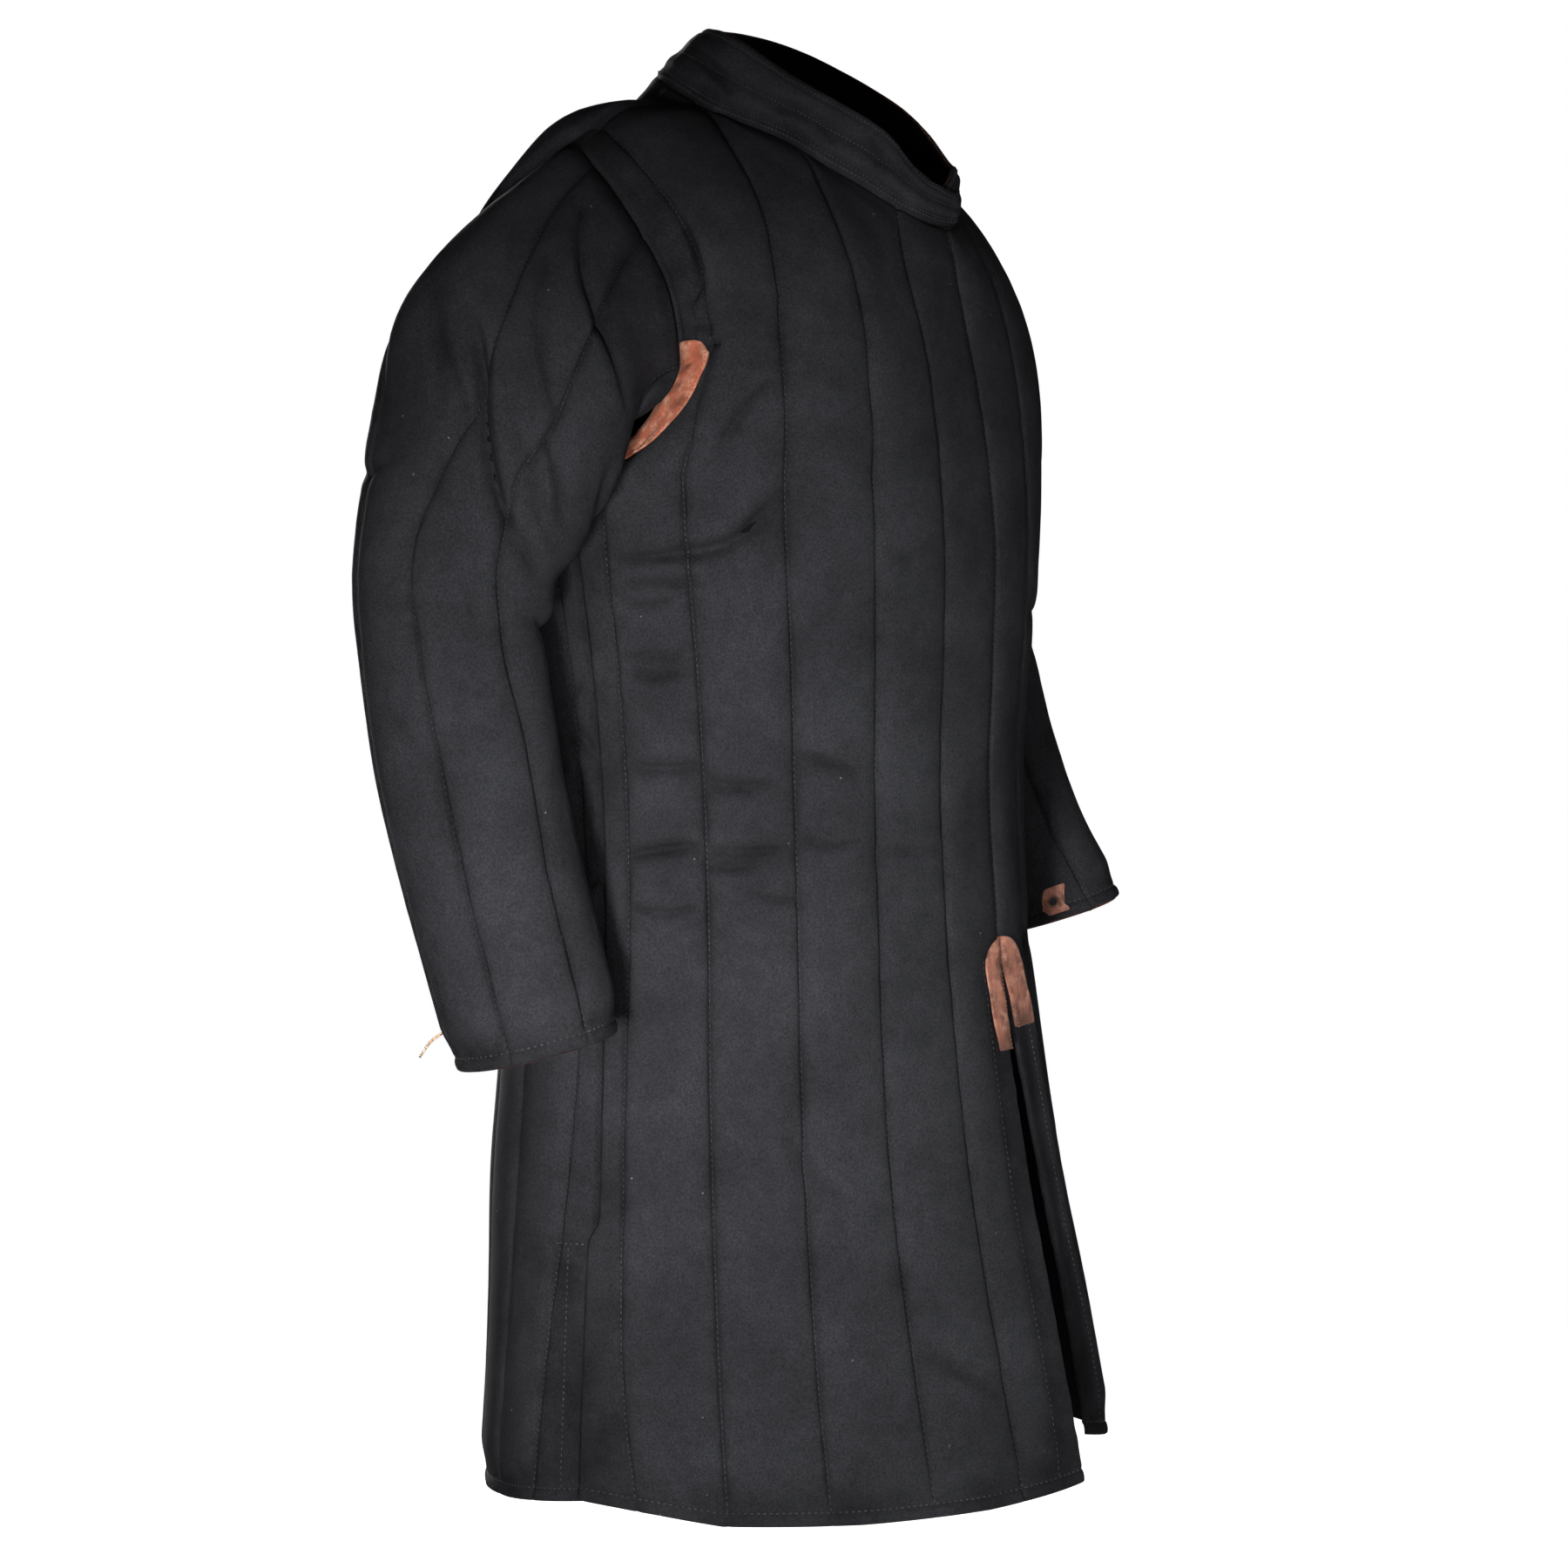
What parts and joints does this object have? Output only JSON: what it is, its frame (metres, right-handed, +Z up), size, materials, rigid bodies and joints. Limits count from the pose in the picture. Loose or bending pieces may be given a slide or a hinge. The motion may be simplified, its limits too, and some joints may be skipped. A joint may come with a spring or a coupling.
{
  "type": "gambeson",
  "caption": "Long padded cotton coat with a stand collar, vertical quilting, open armpits, a split front skirt and suede reinforcements, filled out as if worn.",
  "frame": {"origin": "The base of the neck between the shoulder seams, where the wearer carries the garment", "axes": "+Z up along the body, -Y out of the front, -X to the wearer's right"},
  "size_m": [0.7692, 0.4443, 1.0092],
  "materials": {
    "quilted_cotton": "matt black quilted cotton",
    "suede": "brown suede",
    "thong_leather": "undyed leather thong"
  },
  "bodies": {
    "root": {"front_right": "quilted_cotton", "front_left": "quilted_cotton", "back": "quilted_cotton", "collar": "quilted_cotton", "sleeve_right": "quilted_cotton", "sleeve_left": "quilted_cotton", "slit_leather": "suede", "armpit_leather_right": "suede", "armpit_leather_left": "suede", "cuff_leather_right": "suede", "cuff_leather_left": "suede", "cuff_lace_right": "thong_leather"}
  },
  "joints": []
}
